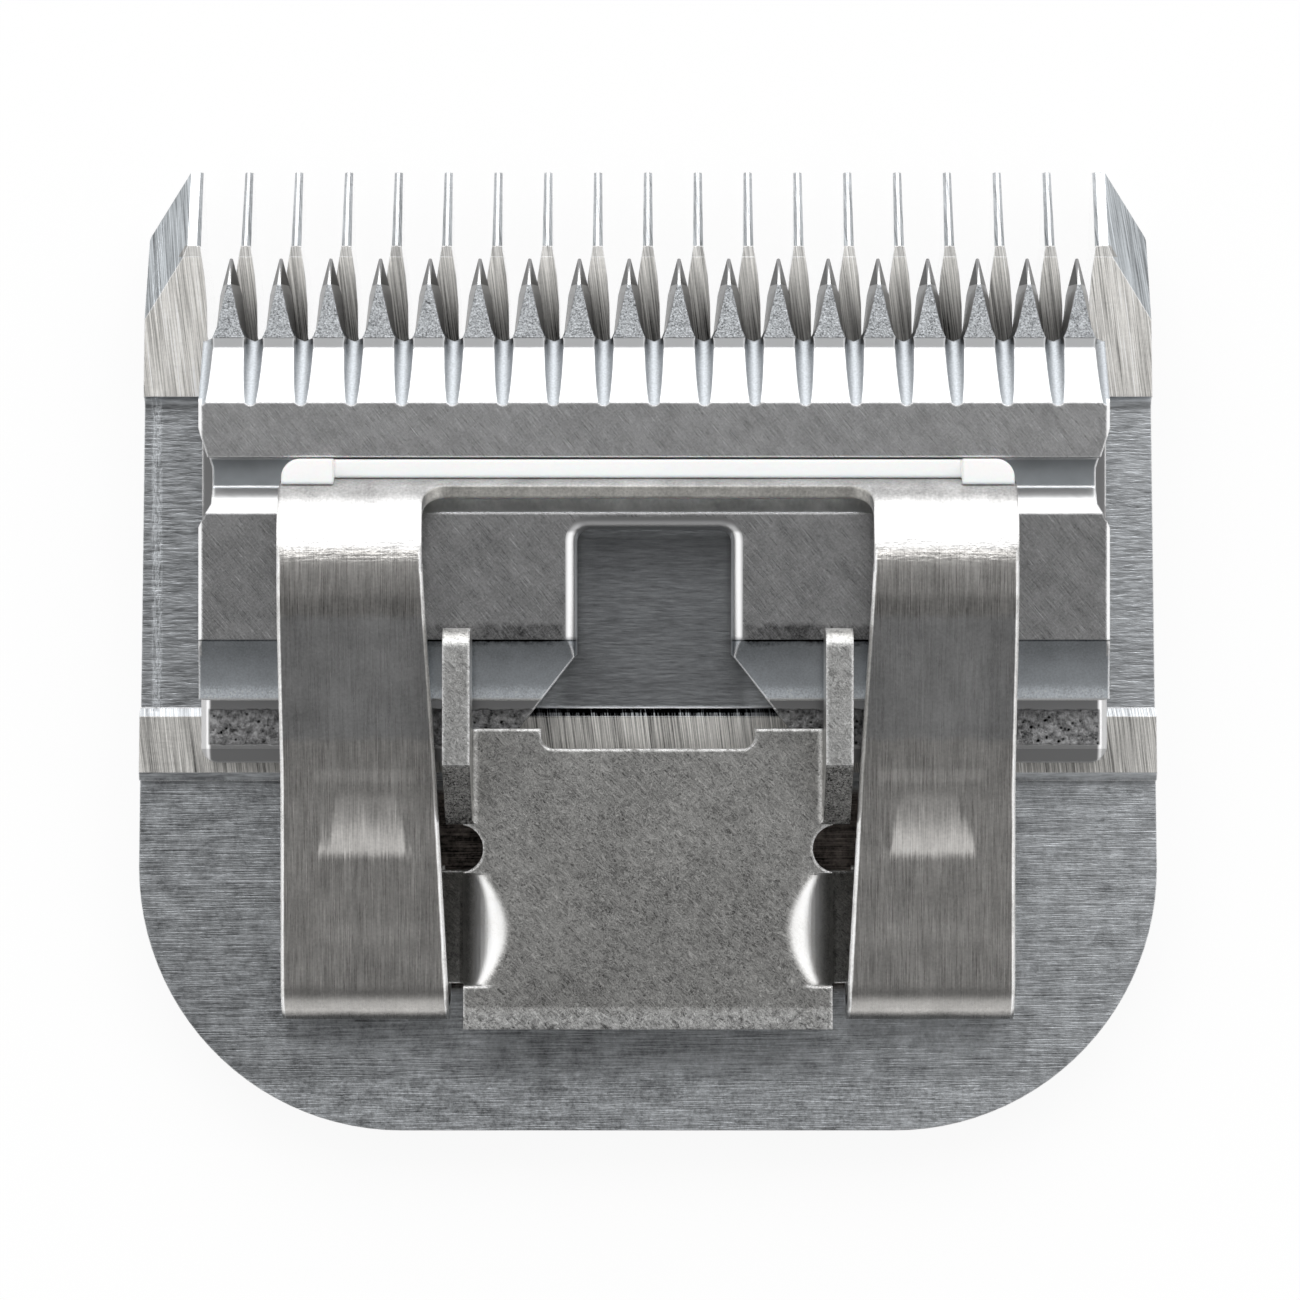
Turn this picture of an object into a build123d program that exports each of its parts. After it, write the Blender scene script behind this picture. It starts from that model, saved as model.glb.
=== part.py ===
from build123d import *
from math import cos, radians, sin, tan
import os

os.makedirs("parts", exist_ok=True)

# A detachable clipper blade set: a fixed comb, a cutter that slides across it, and the
# spring, guide, hinge socket and screws that hold the two together.
# X runs across the blade, Y from the rear edge to the tooth tips, Z up from the skin side.
# The origin is the middle of the comb's footprint, on its skin side. Millimetres.

# Driving dimensions: comb plate
comb_width = 50.0
comb_front_inset = 0.4
comb_length = 47.2
plate_thickness = 3.4
land_height = 0.6
rear_corner_radius = 12.9
shoulder_length = 3.3
shoulder_radius = 0.7

# Comb teeth, measured back from the tips
comb_tooth_count = 17
outer_tooth_width = 2.824
comb_tip_width = 0.40
comb_neck_width = 0.49
comb_root_width = 1.20
comb_tip_thickness = 1.0
comb_tip_rise = 1.25
comb_slot_length = 8.8
comb_flare_middle = 0.4
comb_flare_belly = 0.7
comb_flare_flats = 3
comb_bevel_length = 3.8
comb_facet_length = 0.55
comb_facet_drop = 0.10
comb_ridge_width = 0.13
comb_ridge_flank_drop = 0.26
outer_tooth_tip_width = 0.58
underside_bevel_length = 6.2
side_facet_length = 8.0

# Comb lands and recess, from front to rear
front_land_length = 6.85
rear_land_length = 2.75
rear_plate_length = 17.6
land_chamfer_length = 0.4
land_chamfer_drop = 0.26

# Cutter
cutter_side_inset = 3.0
cutter_thickness = 3.0
cutter_setback = 4.45
cutter_rest_offset = 0.3
oil_gap = 0.03
cutter_tooth_count = 18
cutter_end_margin = 0.085
cutter_tip_width = 0.15
cutter_mid_width = 1.02
cutter_root_width = 1.50
cutter_tip_draft = 0.50
cutter_mid_draft = 0.48
cutter_root_draft = 0.20
cutter_tip_height = 0.30
cutter_ridge_length = 1.35
cutter_tooth_height = 1.10
cutter_tooth_length = 3.95
cutter_tooth_rise = 0.26
cutter_root_inset = 0.4
cutter_flank_middle = 0.45
cutter_flank_flats = 2
cutter_bevel_start = 4.49
cutter_bevel_start_height = 1.40
cutter_bevel_length = 2.71
gullet_radius = 0.47
gullet_front_depth = 0.38
gullet_rear_depth = 0.09
cutter_heel_height = 1.50
cutter_heel_length = 3.1
cutter_heel_overlap = 0.52
cutter_heel_bevel = 0.70
cutter_heel_drop = 0.30
cutter_corner_radius = 0.8
cutter_side_chamfer = 0.16
channel_length = 2.9
channel_depth = 0.36
channel_rear_depth = 0.32
channel_low_point = 1.22
underside_relief = 0.40
front_rub_length = 7.6
rear_rub_length = 2.1

# Guide groove across the cutter, and the notches at its two ends
groove_from_bevel = 2.65
groove_top_width = 2.7
groove_floor_width = 1.4
groove_depth = 0.95
groove_notch_depth = 0.6
groove_notch_run = 1.4
groove_notch_floor = 0.9

# Drive slot, open to the rear
drive_slot_width = 7.5
drive_slot_mouth_radius = 0.62
drive_slot_inset = 0.72
drive_slot_corner = 0.6
drive_slot_straight = 6.1
drive_slot_flare_angle = 52.0

# Tension spring
spring_width = 35.4
spring_thickness = 0.65
spring_loop_radius = 1.55
spring_tab_length = 5.5
spring_arm_width_front = 6.9
spring_arm_width_rear = 8.05
spring_crest_height = 2.2
spring_crest_length = 5.2
spring_rise_length = 8.2
spring_rise_start = 0.12
spring_foot_bend = 8.0
spring_shoulder_bend = 9.0
spring_loop_setback = 0.1
spring_bend_radius = 2.5
spring_bar_angle = 68.0
spring_bar_corner = 1.2
spring_window_corner = 1.2
spring_window_angle = 58.0
spring_front_inset = 0.27

# Plastic guide
guide_end_inset = 0.1
guide_clearance = 0.08
guide_wall_clearance = 0.12
guide_lip_height = 0.2
guide_bed = 0.42
guide_rear_height = 0.45
guide_end_radius = 0.9
guide_pad_width = 2.5
guide_pad_height = 1.0
fit_gap = 0.04

# Hinge socket, folded from sheet
socket_sheet = 1.3
socket_web_height = 3.8
socket_front = 19.8
socket_rear = 5.33
socket_tongue_width = 15.32
socket_bend_radius = 0.93
socket_web_half_width_rear = 8.9
socket_notch_width = 10.3
socket_notch_depth = 0.97
socket_notch_radius = 0.6
socket_notch_mouth_radius = 0.3
socket_flange_length = 5.45
socket_lip_length = 2.07
socket_lip_turn = 1.05
socket_lip_rise = 0.12
ear_inner_width = 16.9
ear_length_forward = 4.84
ear_height = 3.3
ear_top_length = 6.5
ear_bend_length = 4.6
ear_clearance = 0.4
ear_front_radius = 0.9
relief_radius = 1.16
foot_reach = 8.2

# Screws
screw_spacing = 28.0
screw_from_rear = 10.15
screw_diameter = 3.44
screw_clearance_diameter = 3.9
screw_tapped_diameter = 3.5
screw_head_diameter = 6.4
screw_head_height = 1.65
screw_head_gap = 0.3
screw_head_recess = 0.25
screw_slot_width = 0.95
screw_slot_depth = 0.8
screw_end_length = 0.45

# Places that follow from the sizes above
tip_y = comb_length / 2
rear_y = -comb_length / 2
plate_z = plate_thickness
land_z = plate_z + land_height
comb_gap_count = comb_tooth_count + 1
comb_pitch = (comb_width - 2 * outer_tooth_width) / comb_gap_count
bevel_end_y = tip_y - comb_bevel_length
land_front_y = bevel_end_y - comb_facet_length
land_rear_y = land_front_y - front_land_length
rear_land_rear_y = rear_y + rear_plate_length
rear_land_front_y = rear_land_rear_y + rear_land_length
shoulder_y = tip_y - shoulder_length
comb_root_y = tip_y - comb_slot_length

cutter_width = comb_width - 2 * cutter_side_inset
cutter_pitch = (cutter_width - 2 * cutter_end_margin) / cutter_tooth_count
cutter_z = land_z + oil_gap
cutter_top_z = cutter_z + cutter_thickness
cutter_tip_y = tip_y - cutter_setback
cutter_rear_y = rear_land_rear_y + cutter_heel_overlap
cutter_bevel_y = cutter_tip_y - cutter_bevel_start
cutter_flat_y = cutter_bevel_y - cutter_bevel_length
groove_front_y = cutter_flat_y - groove_from_bevel
groove_mid_y = groove_front_y - groove_top_width / 2
groove_rear_y = groove_front_y - groove_top_width
groove_floor_z = cutter_top_z - groove_depth
drive_slot_front_y = groove_rear_y - drive_slot_inset
heel_front_y = cutter_rear_y + cutter_heel_length
channel_front_y = heel_front_y + channel_length

screw_x = screw_spacing / 2
screw_y = rear_y + screw_from_rear
screw_seat_z = screw_head_recess + screw_head_height

spring_mid_z = plate_z + spring_thickness / 2
spring_loop_y = screw_y - socket_flange_length / 2 + spring_loop_setback
foot_z = plate_z + spring_thickness
web_z = plate_z + socket_web_height - socket_sheet
web_mid_z = web_z + socket_sheet / 2
web_top_z = web_z + socket_sheet
web_front_y = rear_y + socket_front
web_rear_y = rear_y + socket_rear


# Comb: the side section drawn across the plate, trimmed to the plan outline
cove_y = land_rear_y - land_height
comb_tip_top = comb_tip_rise + comb_tip_thickness

with BuildSketch() as comb_gap:
    gap_tip = (comb_pitch - comb_tip_width) / 2
    gap_neck = (comb_pitch - comb_neck_width) / 2
    gap_root = (comb_pitch - comb_root_width) / 2
    gap_shoulder_y = comb_root_y + gap_root
    gap_mid = gap_neck - comb_flare_belly * (gap_neck - gap_root)
    gap_mid_y = bevel_end_y - comb_flare_middle * (bevel_end_y - gap_shoulder_y)
    with BuildLine() as gap_side:
        front = Line((0, tip_y + gap_tip), (gap_tip, tip_y + gap_tip))
        blade = Line(front @ 1, (gap_tip, tip_y))
        neck = Line(blade @ 1, (gap_neck, bevel_end_y))
        curve = ThreePointArc(
            neck @ 1, (gap_mid, gap_mid_y), (gap_root, gap_shoulder_y), mode=Mode.PRIVATE
        )
        flare = Polyline([curve @ (step / comb_flare_flats) for step in range(comb_flare_flats + 1)])
        RadiusArc(flare @ 1, (0, comb_root_y), gap_root)
        mirror(about=Plane.YZ)
    make_face()

bevel_top = Vector(0, bevel_end_y, land_z - comb_facet_drop)
bevel_tip = Vector(0, tip_y, comb_tip_top)
bevel_direction = (bevel_tip - bevel_top).normalized()


def ridge_section(place, gap_half, tooth_width):
    """The wedge between two teeth that leaves a narrow ridge on top of each, square to the bevel."""
    reach = (tooth_width - comb_ridge_width) / 2
    over = comb_ridge_flank_drop
    with BuildSketch(Plane(origin=place, x_dir=(-1, 0, 0), z_dir=bevel_direction)) as section:
        Polygon(
            (-gap_half, -comb_ridge_flank_drop),
            (gap_half, -comb_ridge_flank_drop),
            (gap_half + reach * (1 + over / comb_ridge_flank_drop), over),
            (-gap_half - reach * (1 + over / comb_ridge_flank_drop), over),
            align=None,
        )
    return section.sketch


with BuildPart() as ridge_flanks:
    add(ridge_section(bevel_top, gap_neck, comb_neck_width))
    add(ridge_section(bevel_tip + bevel_direction * comb_tip_width, gap_tip, comb_tip_width))
    loft(ruled=True)

with BuildPart() as comb:
    with BuildSketch(Plane.YZ):
        with BuildLine():
            Polyline(
                (cove_y, plate_z),
                (rear_land_front_y + land_chamfer_length, plate_z),
                (rear_land_front_y + land_chamfer_length, land_z - land_chamfer_drop),
                (rear_land_front_y, land_z),
                (rear_land_rear_y, land_z),
                (rear_land_rear_y - land_chamfer_length, land_z - land_chamfer_drop),
                (rear_land_rear_y - land_chamfer_length, plate_z),
                (rear_y, plate_z),
                (rear_y, 0),
                (tip_y - underside_bevel_length, 0),
                (tip_y, comb_tip_rise),
                (tip_y, comb_tip_top),
                (bevel_end_y, land_z - comb_facet_drop),
                (land_front_y, land_z),
                (land_rear_y, land_z),
            )
            CenterArc((cove_y, land_z), land_height, -90, 90)
        make_face()
    extrude(amount=comb_width / 2, both=True)

    outer_tooth_inner_x = comb_gap_count * comb_pitch / 2 - comb_tip_width / 2
    with BuildSketch(Plane.XY):
        with BuildLine():
            rear_edge = Line((0, rear_y), (comb_width / 2 - rear_corner_radius, rear_y))
            corner = JernArc(rear_edge @ 1, rear_edge % 1, rear_corner_radius, 90)
            side = Line(corner @ 1, (comb_width / 2 - comb_front_inset, shoulder_y))
            nose = Line(side @ 1, (outer_tooth_inner_x + outer_tooth_tip_width, tip_y))
            Line(nose @ 1, (0, tip_y))
            mirror(about=Plane.YZ)
        outline = make_face()
        fillet(outline.vertices().filter_by_position(Axis.Y, shoulder_y - 0.01, shoulder_y + 0.01),
               shoulder_radius)
    extrude(amount=land_z + land_height, mode=Mode.INTERSECT)

    for side_sign in (-1, 1):
        facet_x = side_sign * (outer_tooth_inner_x + outer_tooth_tip_width)
        facet_top = Vector(facet_x, bevel_end_y, land_z - comb_facet_drop)
        facet_tip = Vector(facet_x, tip_y, comb_tip_top)
        facet_side = Vector(side_sign * comb_width / 2, tip_y - side_facet_length, land_z)
        facet_normal = (facet_tip - facet_top).cross(facet_side - facet_top)
        if facet_normal.Z < 0:
            facet_normal = -facet_normal
        split(bisect_by=Plane(origin=facet_top, z_dir=facet_normal), keep=Keep.BOTTOM)

    with BuildSketch(Plane.XY):
        with GridLocations(comb_pitch, 0, comb_gap_count, 1):
            add(comb_gap.sketch)
    extrude(amount=land_z + land_height, mode=Mode.SUBTRACT)

    with GridLocations(comb_pitch, 0, comb_gap_count, 1):
        add(ridge_flanks.part, mode=Mode.SUBTRACT)

    with Locations([Plane((x, screw_y, 0), z_dir=(0, 0, -1)) for x in (-screw_x, screw_x)]):
        CounterBoreHole(
            screw_clearance_diameter / 2,
            screw_head_diameter / 2 + screw_head_gap,
            screw_seat_z,
            plate_z,
        )
comb.part.label = "comb"


# Cutter: the side section extruded, then the tooth gaps, gullets, drive slot and notches
cutter_half = cutter_width / 2
heel_top_z = cutter_z + cutter_heel_height
channel_rear_z = cutter_top_z - channel_rear_depth
groove_floor_rear_y = groove_front_y - groove_floor_width
cutter_plane = Plane.XY.offset(cutter_z)

with BuildPart() as cutter:
    with BuildSketch(Plane.YZ.offset(cutter_rest_offset)):
        with BuildLine():
            Polyline(
                (heel_front_y, cutter_top_z),
                (heel_front_y, heel_top_z),
                (cutter_rear_y + cutter_heel_bevel, heel_top_z),
                (cutter_rear_y, heel_top_z - cutter_heel_drop),
                (cutter_rear_y, cutter_z),
                (cutter_rear_y + rear_rub_length, cutter_z),
                (cutter_rear_y + rear_rub_length + underside_relief, cutter_z + underside_relief),
                (cutter_tip_y - front_rub_length - underside_relief, cutter_z + underside_relief),
                (cutter_tip_y - front_rub_length, cutter_z),
                (cutter_tip_y, cutter_z),
                (cutter_tip_y, cutter_z + cutter_tip_height),
                (cutter_tip_y - cutter_ridge_length, cutter_z + cutter_tooth_height),
                (cutter_tip_y - cutter_tooth_length, cutter_z + cutter_tooth_height + cutter_tooth_rise),
                (cutter_bevel_y, cutter_z + cutter_bevel_start_height),
                (cutter_flat_y, cutter_top_z),
                (groove_front_y, cutter_top_z),
                (groove_front_y, groove_floor_z),
                (groove_floor_rear_y, groove_floor_z),
                (groove_rear_y, cutter_top_z),
                close=True,
            )
        make_face()
    extrude(amount=cutter_half, both=True)
    heel_corners = cutter.edges().filter_by(Axis.Z).filter_by_position(
        Axis.Y, cutter_rear_y - 0.01, cutter_rear_y + 0.01
    )
    fillet(heel_corners, cutter_corner_radius)
    side_edges = cutter.edges().filter_by(Axis.Y).group_by(Axis.Z)
    chamfer(side_edges[-1], cutter_side_chamfer)

    # The drive slot's straight part, its mouth rounded, then the channel across the rear.
    with BuildSketch(cutter_plane):
        with Locations((cutter_rest_offset, drive_slot_front_y)):
            slot = Rectangle(
                drive_slot_width, drive_slot_front_y - heel_front_y, align=(Align.CENTER, Align.MAX)
            )
        fillet(slot.vertices().group_by(Axis.Y)[-1], drive_slot_corner)
    extrude(amount=cutter_thickness, mode=Mode.SUBTRACT)
    mouth = cutter.edges().filter_by_position(Axis.Z, cutter_top_z - 0.01, cutter_top_z + 0.01)
    mouth = mouth.filter_by_position(Axis.Y, heel_front_y + 0.01, drive_slot_front_y + 0.01)
    fillet(mouth.filter_by(lambda edge: abs(edge.center().X) < drive_slot_width), drive_slot_mouth_radius)
    with BuildSketch(Plane.YZ.offset(cutter_rest_offset)):
        with BuildLine():
            channel = ThreePointArc(
                (channel_front_y, cutter_top_z),
                (heel_front_y + channel_low_point, cutter_top_z - channel_depth),
                (heel_front_y, channel_rear_z),
            )
            Polyline(channel @ 1, (heel_front_y, cutter_top_z + channel_depth), channel @ 0)
        make_face()
    extrude(amount=cutter_half, both=True, mode=Mode.SUBTRACT)


def tooth_gap_outline(lean, height):
    """One tooth gap in plan, at a height above the cutter's sole."""
    tip = (cutter_pitch - cutter_tip_width) / 2 + lean * cutter_tip_draft
    middle = (cutter_pitch - cutter_mid_width) / 2 + lean * cutter_mid_draft
    root = (cutter_pitch - cutter_root_width) / 2 + lean * cutter_root_draft
    root_y = cutter_bevel_y + cutter_root_inset
    shoulder_y = root_y + root
    with BuildSketch(cutter_plane.offset(height)) as outline:
        with BuildLine():
            mouth = Line((0, cutter_tip_y + tip), (tip, cutter_tip_y + tip))
            lead = Line(mouth @ 1, (tip, cutter_tip_y))
            curve = ThreePointArc(
                lead @ 1,
                (middle, cutter_tip_y - cutter_flank_middle * (cutter_tip_y - shoulder_y)),
                (root, shoulder_y),
                mode=Mode.PRIVATE,
            )
            flank = Polyline([curve @ (step / cutter_flank_flats) for step in range(cutter_flank_flats + 1)])
            root_reach = root * cos(radians(45))
            Polyline(flank @ 1, (root_reach, shoulder_y - root_reach), (0, root_y))
            mirror(about=Plane.YZ)
        make_face()
    return outline.sketch


gap_top_height = cutter_bevel_start_height + gullet_rear_depth
with BuildPart() as tooth_gap:
    add(tooth_gap_outline(0, 0))
    add(tooth_gap_outline(1, gap_top_height))
    loft(ruled=True)

bevel_front = Vector(0, cutter_bevel_y, cutter_z + cutter_bevel_start_height)
bevel_rear = Vector(0, cutter_flat_y, cutter_top_z)
bevel_run = bevel_rear - bevel_front
bevel_normal = Vector(0, bevel_run.Z, -bevel_run.Y).normalized()
gullet_front = bevel_front - bevel_normal * gullet_front_depth
gullet_rear = bevel_rear - bevel_normal * gullet_rear_depth
gullet_direction = (gullet_rear - gullet_front).normalized()
gullet_normal = Vector(0, gullet_direction.Z, -gullet_direction.Y)
with BuildPart() as gullet:
    with BuildSketch(
        Plane(
            origin=gullet_front + gullet_normal * gullet_radius,
            x_dir=(1, 0, 0),
            z_dir=gullet_direction,
        )
    ):
        Circle(gullet_radius)
    extrude(amount=2 * cutter_bevel_length, both=True)

slot_straight_end = drive_slot_front_y - drive_slot_straight
slot_flare_reach = slot_straight_end - cutter_rear_y + cutter_thickness
slot_flare_out = slot_flare_reach / tan(radians(drive_slot_flare_angle))

with BuildPart() as drive_slot_flare:
    with BuildSketch(cutter_plane):
        with BuildLine():
            Polyline(
                (0, slot_straight_end),
                (drive_slot_width / 2, slot_straight_end),
                (drive_slot_width / 2 + slot_flare_out, slot_straight_end - slot_flare_reach),
                (0, slot_straight_end - slot_flare_reach),
            )
            mirror(about=Plane.YZ)
        make_face()
    extrude(amount=cutter_thickness)

with BuildPart() as groove_notch:
    with BuildSketch(Plane.XY.offset(groove_floor_z - groove_notch_floor)):
        with BuildLine():
            Polyline(
                (cutter_half, groove_front_y + groove_notch_run),
                (cutter_half - groove_notch_depth, groove_front_y - groove_depth / 2),
                (cutter_half - groove_notch_depth, groove_rear_y + groove_depth / 2),
                (cutter_half, groove_rear_y - groove_notch_run / 2),
                (cutter_half + groove_notch_depth, groove_mid_y),
                (cutter_half, groove_front_y + groove_notch_run),
            )
        make_face()
    extrude(amount=cutter_thickness)
    mirror(about=Plane.YZ)

with BuildPart() as cutter_finished:
    add(cutter.part)
    with Locations([(cutter_rest_offset, 0, 0)]):
        with GridLocations(cutter_pitch, 0, cutter_tooth_count + 1, 1):
            add(tooth_gap.part, mode=Mode.SUBTRACT)
            add(gullet.part, mode=Mode.SUBTRACT)
        add(drive_slot_flare.part, mode=Mode.SUBTRACT)
        add(groove_notch.part, mode=Mode.SUBTRACT)
cutter_finished.part.label = "cutter"


# Tension spring: one strip in side view, with the window between its arms cut out
spring_half = spring_width / 2
crest_mid_z = web_top_z + spring_crest_height - spring_thickness / 2
loop_top_z = spring_mid_z + 2 * spring_loop_radius
bar_foot_z = groove_floor_z + guide_clearance + guide_bed
bar_foot_y = groove_floor_rear_y + spring_front_inset
bar_drop = crest_mid_z - bar_foot_z
bend_corner_y = bar_foot_y - bar_drop / tan(radians(spring_bar_angle))
crest_rear_y = bend_corner_y - spring_crest_length
rise_foot_y = crest_rear_y - spring_rise_length
bend_tangent = spring_bend_radius * tan(radians(spring_bar_angle / 2))
bend_centre = Vector(0, bend_corner_y - bend_tangent, crest_mid_z - spring_bend_radius)


def bend_point(radius, height):
    """The point in the YZ plane at a height on a circle about the front bend's centre."""
    rise = height - bend_centre.Z
    return (bend_centre.Y + (radius ** 2 - rise ** 2) ** 0.5, height)


with BuildPart() as tension_spring:
    with BuildSketch(Plane.YZ):
        with BuildLine():
            tab = Line((spring_loop_y + spring_tab_length, spring_mid_z), (spring_loop_y, spring_mid_z))
            loop = JernArc(tab @ 1, tab % 1, spring_loop_radius, -180)
            FilletPolyline(
                [
                    loop @ 1,
                    (rise_foot_y, loop_top_z + spring_rise_start),
                    (crest_rear_y, crest_mid_z),
                    (bend_corner_y, crest_mid_z),
                    (bar_foot_y, bar_foot_z),
                ],
                radius=[spring_foot_bend, spring_shoulder_bend, spring_bend_radius],
            )
        trace(line_width=spring_thickness)
    extrude(amount=spring_half, both=True)

    inner_front = spring_half - spring_arm_width_front
    inner_rear = spring_half - spring_arm_width_rear
    with BuildSketch(Plane.XY):
        with BuildLine():
            Polyline(
                (0, crest_rear_y + spring_crest_length / 2),
                (inner_front, crest_rear_y + spring_crest_length / 2),
                (inner_rear, spring_loop_y),
                (inner_rear, rear_y),
                (0, rear_y),
            )
            mirror(about=Plane.YZ)
        make_face()
    extrude(amount=2 * crest_mid_z, mode=Mode.SUBTRACT)

    # The front edge of the window is sheared square to the sheet, part way round the bend.
    tilt = radians(spring_window_angle)
    sheet_out = Vector(0, sin(tilt), cos(tilt))
    window_edge = bend_centre + sheet_out * spring_bend_radius
    with BuildSketch(Plane(origin=window_edge, x_dir=(1, 0, 0), z_dir=sheet_out)):
        with Locations((0, -spring_bend_radius * 2)):
            window = Rectangle(2 * inner_front, spring_bend_radius * 4)
        fillet(window.vertices().group_by(Axis.Y)[-1], spring_window_corner)
    extrude(amount=spring_bend_radius, both=True, mode=Mode.SUBTRACT)

    # The bar's two lower corners are rounded.
    with BuildSketch(Plane.XZ.offset(-bar_foot_y - spring_bend_radius)):
        with BuildLine():
            low_z = bar_foot_z - spring_thickness
            low = Line((spring_half - spring_bar_corner, low_z), (spring_half + fit_gap, low_z))
            out = Line(low @ 1, (spring_half + fit_gap, bar_foot_z + spring_bar_corner))
            back = Line(out @ 1, (spring_half, bar_foot_z + spring_bar_corner))
            round = RadiusArc(back @ 1, (spring_half - spring_bar_corner, bar_foot_z), spring_bar_corner)
            Line(round @ 1, low @ 0)
        make_face()
    extrude(amount=2 * spring_bend_radius, mode=Mode.SUBTRACT)
    mirror(tension_spring.part, about=Plane.YZ, mode=Mode.INTERSECT)

    with Locations((-screw_x, screw_y, plate_z), (screw_x, screw_y, plate_z)):
        Cylinder(screw_clearance_diameter / 2, 2 * spring_thickness, mode=Mode.SUBTRACT)
tension_spring.part.label = "tension_spring"


# Guide: a plastic strip that fills the groove and holds the foot of the spring's bar
bar_slope = radians(spring_bar_angle)
bar_up = Vector(-cos(bar_slope), sin(bar_slope))
bar_out = Vector(sin(bar_slope), cos(bar_slope))
bar_foot = Vector(bar_foot_y, bar_foot_z)
pocket_front = bar_foot + bar_out * (spring_thickness / 2 + fit_gap) - bar_up * fit_gap
pocket_rear = bar_foot - bar_out * (spring_thickness / 2 + fit_gap) - bar_up * fit_gap
guide_floor_z = groove_floor_z + guide_clearance
guide_top_z = cutter_top_z + guide_lip_height
guide_rear_z = groove_floor_z + guide_rear_height
guide_half = spring_half - guide_end_inset
guide_front_y = groove_front_y - guide_wall_clearance
guide_pad_z = cutter_top_z + guide_pad_height
groove_rear_slope = (groove_floor_rear_y - groove_rear_y) / groove_depth
guide_rear_y = groove_floor_rear_y - groove_rear_slope * guide_rear_height + guide_wall_clearance
lip_rear = pocket_front + bar_up * ((guide_top_z - pocket_front.Y) / bar_up.Y)
ledge_front = pocket_rear + bar_up * ((guide_rear_z - pocket_rear.Y) / bar_up.Y)
pad_radius = spring_bend_radius + spring_thickness / 2 + fit_gap
pad_rise = guide_pad_z - bend_centre.Z
pad_rear_y = bend_centre.Y + (pad_radius ** 2 - pad_rise ** 2) ** 0.5
pad_low = Vector(bend_centre.Y, bend_centre.Z) + bar_out * pad_radius

with BuildPart() as spring_guide:
    with BuildSketch(Plane.YZ):
        with BuildLine():
            Polyline(
                (groove_floor_rear_y + guide_clearance, guide_floor_z),
                (guide_front_y, guide_floor_z),
                (guide_front_y, guide_top_z),
                (lip_rear.X, lip_rear.Y),
                (pocket_front.X, pocket_front.Y),
                (pocket_rear.X, pocket_rear.Y),
                (ledge_front.X, ledge_front.Y),
                (guide_rear_y, guide_rear_z),
                close=True,
            )
        make_face()
    extrude(amount=guide_half, both=True)
    # A taller pad at each end hooks over the bend of the spring.
    with BuildSketch(Plane.YZ.offset(guide_half - guide_pad_width)):
        with BuildLine():
            Polyline(
                (pad_low.X, pad_low.Y),
                (pocket_front.X, pocket_front.Y),
                (guide_front_y, cutter_top_z),
                (guide_front_y, guide_pad_z),
                (pad_rear_y, guide_pad_z),
            )
            ThreePointArc(
                (pad_rear_y, guide_pad_z),
                bend_point(pad_radius, (pad_low.Y + guide_pad_z) / 2),
                (pad_low.X, pad_low.Y),
            )
        make_face()
    extrude(amount=guide_pad_width)
    mirror(about=Plane.YZ)
    front_corners = spring_guide.edges().filter_by(Axis.Z).filter_by_position(
        Axis.Y, guide_front_y - fit_gap, guide_front_y + fit_gap
    )
    fillet(front_corners.filter_by(lambda edge: abs(edge.center().X) > guide_half - fit_gap),
           guide_end_radius)
spring_guide.part.label = "spring_guide"


# Hinge socket: a sheet bracket with a web, two ears up and two flanges down to its feet
tongue_half = socket_tongue_width / 2
flange_mid_x = tongue_half + socket_sheet / 2
ear_mid_x = ear_inner_width / 2 + socket_sheet / 2
foot_mid_z = foot_z + socket_sheet / 2
foot_end_x = tongue_half + socket_sheet + foot_reach
flange_rear_y = web_rear_y + socket_lip_length
flange_front_y = flange_rear_y + socket_flange_length
ear_rear_y = web_front_y - ear_bend_length
ear_top_z = web_top_z + ear_height
ear_front_y = web_front_y + ear_length_forward
relief_y = (ear_rear_y + flange_front_y) / 2
web_start_x = ear_mid_x - 3 * socket_bend_radius

with BuildPart() as ear:
    with BuildSketch(Plane.XZ.offset(-ear_front_y)):
        with BuildLine():
            FilletPolyline(
                (web_start_x, web_mid_z), (ear_mid_x, web_mid_z), (ear_mid_x, ear_top_z),
                radius=socket_bend_radius,
            )
        trace(line_width=socket_sheet)
    extrude(amount=ear_front_y - ear_rear_y)
    with BuildSketch(Plane.YZ.offset(web_start_x)):
        with BuildLine():
            Polyline(
                (ear_front_y, web_top_z + ear_clearance),
                (ear_front_y, ear_top_z),
                (ear_front_y - ear_top_length, ear_top_z),
                (ear_rear_y, web_top_z),
                (ear_rear_y, web_z),
                (web_front_y, web_z),
                (web_front_y, web_top_z + ear_clearance),
                close=True,
            )
        side_view = make_face()
        fillet(side_view.vertices().sort_by(Axis.X)[-2:], ear_front_radius)
    extrude(amount=ear_mid_x, mode=Mode.INTERSECT)

with BuildPart() as flange:
    with BuildSketch(Plane.XZ.offset(-flange_front_y)):
        with BuildLine():
            FilletPolyline(
                (web_start_x - socket_bend_radius, web_mid_z),
                (flange_mid_x, web_mid_z),
                (flange_mid_x, foot_mid_z),
                (foot_end_x, foot_mid_z),
                radius=(web_mid_z - foot_mid_z) / 2 - fit_gap,
            )
        trace(line_width=socket_sheet)
    extrude(amount=socket_flange_length)
    with Locations((screw_x, screw_y, foot_mid_z)):
        Cylinder(screw_tapped_diameter / 2, 2 * socket_sheet, mode=Mode.SUBTRACT)

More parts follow.
